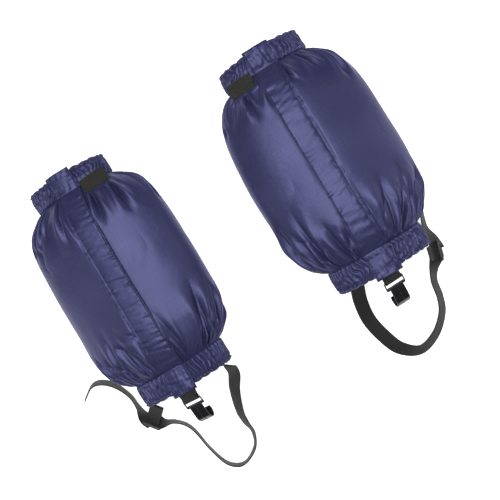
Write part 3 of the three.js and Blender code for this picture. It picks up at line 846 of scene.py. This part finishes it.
def woven_webbing(name, dark, light):
    """Polypropylene webbing: spun threads in a herringbone, matt with a dull sheen."""
    material, shader = new_material(
        name, Roughness=0.65, IOR=1.49, Sheen_Weight=0.06, Sheen_Roughness=0.5
    )
    cut = add_node(material, "ShaderNodeUVMap", uv_map="cut").outputs["UV"]
    # Each float of the weave is 2.2 mm along and 1.1 mm across.
    weave = add_node(
        material, "ShaderNodeTexBrick", {"Vector": cut}, offset=0.5,
        Scale=228.0, Mortar_Size=0.05, Mortar_Smooth=0.9, Brick_Width=0.5, Row_Height=0.25,
        Color1=hex_colour(light), Color2=hex_colour(dark), Mortar=hex_colour("101011"),
    )
    attach(material, weave.outputs["Color"], shader.inputs["Base Color"])
    fuzz = add_node(
        material, "ShaderNodeTexNoise", {"Vector": cut}, Scale=1800.0, Detail=2.0,
    ).outputs["Fac"]
    ribs = add_node(
        material, "ShaderNodeBump", {"Height": weave.outputs["Fac"]},
        Strength=0.8, Distance=0.0004, invert=True,
    ).outputs["Normal"]
    threads = add_node(
        material, "ShaderNodeBump", {"Height": fuzz, "Normal": ribs}, Strength=0.3, Distance=0.0002,
    ).outputs["Normal"]
    attach(material, threads, shader.inputs["Normal"])
    return material


def grained(name, code, worn, scale, depth, **surface):
    """A plain finish with grain: noise moves the colour a little and roughens it."""
    material, shader = new_material(name, **surface)
    place = add_node(material, "ShaderNodeTexCoord").outputs["Object"]
    grain = add_node(
        material, "ShaderNodeTexNoise", {"Vector": place}, Scale=scale, Detail=3.0, Roughness=0.6,
    ).outputs["Fac"]
    tone = two_tones(material, grain, (0.3, code), (0.75, worn))
    attach(material, tone, shader.inputs["Base Color"])
    bump = add_node(
        material, "ShaderNodeBump", {"Height": grain}, Strength=0.4, Distance=depth,
    ).outputs["Normal"]
    attach(material, bump, shader.inputs["Normal"])
    return material


nylon = coated_nylon()
webbing = woven_webbing("polypropylene_webbing", "09090a", "111112")
olive_webbing = woven_webbing("dark_olive_webbing", "15160f", "22231a")
# Polyester thread, dyed to match: small, dark and a little shiny.
thread = grained("polyester_thread", "08080f", "0e0e1a", 900.0, 0.0001, Roughness=0.6)
# Nickel-plated pressed steel: bright and slightly clouded.
nickel = grained(
    "nickel_plated_steel", "8b8b8d", "a9a9aa", 700.0, 0.00003, Roughness=0.26, Metallic=1.0
)
# Gloss black stove enamel over steel: deep black with sharp highlights.
enamel = grained(
    "black_enamel", "131315", "1d1d20", 400.0, 0.00005, Roughness=0.22, IOR=1.52, Coat_Weight=0.4
)
# Moulded acetal: dark grey with the mould's fine spark texture.
acetal = grained("moulded_acetal", "242427", "323236", 1100.0, 0.00008, Roughness=0.42, IOR=1.48)
# Knitted nylon loops: matt, dark and fuzzy.
pile = grained("loop_pile", "15151a", "2a2a32", 1500.0, 0.0006, Roughness=0.95, Sheen_Weight=0.3)
# Moulded nylon hooks: a dark stubble that catches the light at its tips.
hooks = grained("moulded_hooks", "111114", "24242a", 2200.0, 0.0008, Roughness=0.6)
# Knitted elastic: matt black ribs of covered rubber.
knit = grained("knitted_elastic", "161619", "26262b", 1300.0, 0.0004, Roughness=0.9)


def wear(piece, material):
    """Gives a piece its material."""
    piece.data.materials.clear()
    piece.data.materials.append(material)
    return piece


# --- The camera, the lights and the floor ---

AIM = Vector((0.0126, -0.0269, 0.05))
DISTANCE = 0.87
TILT = math.radians(6.5)
ROLL = math.radians(31)
VIEW_WIDTH = 0.668

camera = bpy.data.objects.new("camera", bpy.data.cameras.new("camera"))
bpy.context.scene.collection.objects.link(camera)
bpy.context.scene.camera = camera
camera.data.lens = camera.data.sensor_width * DISTANCE / VIEW_WIDTH
back = Vector((math.sin(TILT), 0, math.cos(TILT)))
level = Vector((math.cos(TILT), 0, -math.sin(TILT)))
north = Vector((0, 1, 0))
rightwards = level * math.cos(ROLL) - north * math.sin(ROLL)
upwards = level * math.sin(ROLL) + north * math.cos(ROLL)
facing = Matrix((rightwards, upwards, back)).transposed().to_4x4()
camera.matrix_world = Matrix.Translation(AIM + back * DISTANCE) @ facing


def softbox(name, place, aim, size, power):
    """A rectangular light at a place, turned to face a point."""
    lamp = bpy.data.lights.new(name, "AREA")
    lamp.shape = "RECTANGLE"
    lamp.size, lamp.size_y = size
    lamp.energy = power
    made = bpy.data.objects.new(name, lamp)
    bpy.context.scene.collection.objects.link(made)
    turn = (Vector(aim) - Vector(place)).to_track_quat("-Z", "Y")
    made.matrix_world = Matrix.Translation(place) @ turn.to_matrix().to_4x4()


softbox("overhead", (0.05, 0.12, 1.3), (0, 0, 0), (1.0, 0.8), 18)
softbox("left_strip", (-1.1, 0.0, 0.28), (-0.1, 0, 0.05), (0.16, 1.6), 3)
softbox("right_strip", (1.1, 0.0, 0.28), (0.1, 0, 0.05), (0.16, 1.6), 3)

world = bpy.data.worlds.new("studio")
bpy.context.scene.world = world
world.use_nodes = True
studio = world.node_tree.nodes["Background"]
studio.inputs["Color"].default_value = (1, 1, 1, 1)
# The room is dim, but its far wall is seen as pale as the floor.
seen = add_node(world, "ShaderNodeLightPath").outputs["Is Camera Ray"]
bright = add_node(world, "ShaderNodeMapRange", {"Value": seen}, To_Min=0.07, To_Max=1.0)
attach(world, bright.outputs["Result"], studio.inputs["Strength"])
bpy.context.scene.view_settings.view_transform = "Standard"

FLOOR_HALF = 6000.0
floor_corners = np.array([(-1, -1, 0), (1, -1, 0), (1, 1, 0), (-1, 1, 0)]) * FLOOR_HALF
floor = make_mesh("floor", floor_corners, [[0, 1, 2, 3]])
# White paper, lit from behind as well so that it stays nearly free of shadow.
paper, _ = new_material(
    "white_paper",
    Roughness=0.9,
    Base_Color=(0.93, 0.93, 0.93, 1),
    Emission_Color=(1, 1, 1, 1),
    Emission_Strength=0.85,
)
floor.data.materials.append(paper)


# --- The pair ---

for side in SIDES:
    gaiter = f"{side}_gaiter"
    buckle_parts = buckle(side)
    tab = wear(buckle_tab(side), webbing)
    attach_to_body(tab, gaiter)
    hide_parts(f"{side}_buckle_tab")
    for part in buckle_parts:
        wear(part, acetal)
        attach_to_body(part, f"{side}_slider")
        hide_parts(f"{side}_buckle")
    for name, routes, node, far_end, on_it in (
        ("instep_webbing", STRAP_ROUTE, "instep_strap", "object", [*buckle_parts, tab]),
        ("tail_webbing", TAIL_ROUTE, "strap_tail", "bare", []),
    ):
        line, across = standing(routes[side])
        strap = ribbon(f"{side}_{name}", line, across, WEBBING_WIDTH, WEBBING_THICKNESS)
        wear(strap, webbing)
        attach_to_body(strap, gaiter)
        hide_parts(f"{side}_{node}")

for side in SIDES:
    gaiter, flap = f"{side}_gaiter", f"{side}_flap"
    body = wear(cloth_body(side), nylon)
    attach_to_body(body, gaiter)
    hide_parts(f"{side}_shell")
    for name, rim, seam, ridges, flat in (
        ("top_cuff", LENGTH, UPPER, TOP_RIDGES, (0.30, 0.065)),
        ("bottom_cuff", 0.0, LOWER, BOTTOM_RIDGES, (0.36, 0.075)),
    ):
        cuff = wear(ruched_cuff(side, rim, seam, ridges, f"{name}_cloth"), nylon)
        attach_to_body(cuff, gaiter)
        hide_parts(f"{side}_{name}")
    leaf = wear(front_flap(side), nylon)
    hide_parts(f"{side}_front_flap")
    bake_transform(leaf)
    seam = wear(flap_stitches(side, STITCH_X, 2.35, "flap_seam_thread"), thread)
    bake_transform(seam)
    edge = wear(flap_stitches(side, EDGE_STITCH_X, 3.95, "flap_edge_thread"), thread)
    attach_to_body(edge, flap)
    for name, y in (
        ("top_shirring_thread", LENGTH - RIM_STITCH),
        ("top_seam_thread", UPPER + SEAM_STITCH),
        ("bottom_shirring_thread", RIM_STITCH),
        ("bottom_seam_thread", LOWER - SEAM_STITCH),
    ):
        row = wear(cuff_stitches(side, y, name), thread)
        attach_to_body(row, gaiter)
    loops = wear(closure_tape(side, "loop_pile_tape", TAPE_GAP), pile)
    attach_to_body(loops, gaiter)
    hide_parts(f"{side}_loop_tape")
    above_loops = 2 * TAPE_GAP + TAPE_THICKNESS
    hook_tape = wear(closure_tape(side, "hook_pile_tape", above_loops), hooks)
    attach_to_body(hook_tape, flap)
    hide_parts(f"{side}_hook_tape")
    cinch = wear(cinch_tab(side), olive_webbing)
    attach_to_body(cinch, f"{side}_cinch")
    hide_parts(f"{side}_cinch_tab")
    tab = wear(hook_tab(side), webbing)
    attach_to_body(tab, flap)
    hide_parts(f"{side}_hook_tab")
    for part, finish in zip(lace_hook(side), (nickel, enamel, enamel)):
        wear(part, finish)
        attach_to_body(part, f"{side}_hook")
        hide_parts(f"{side}_lace_hook")

for node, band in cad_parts.items():
    if node.endswith("_elastic"):
        for slot in band.material_slots:
            slot.material = knit
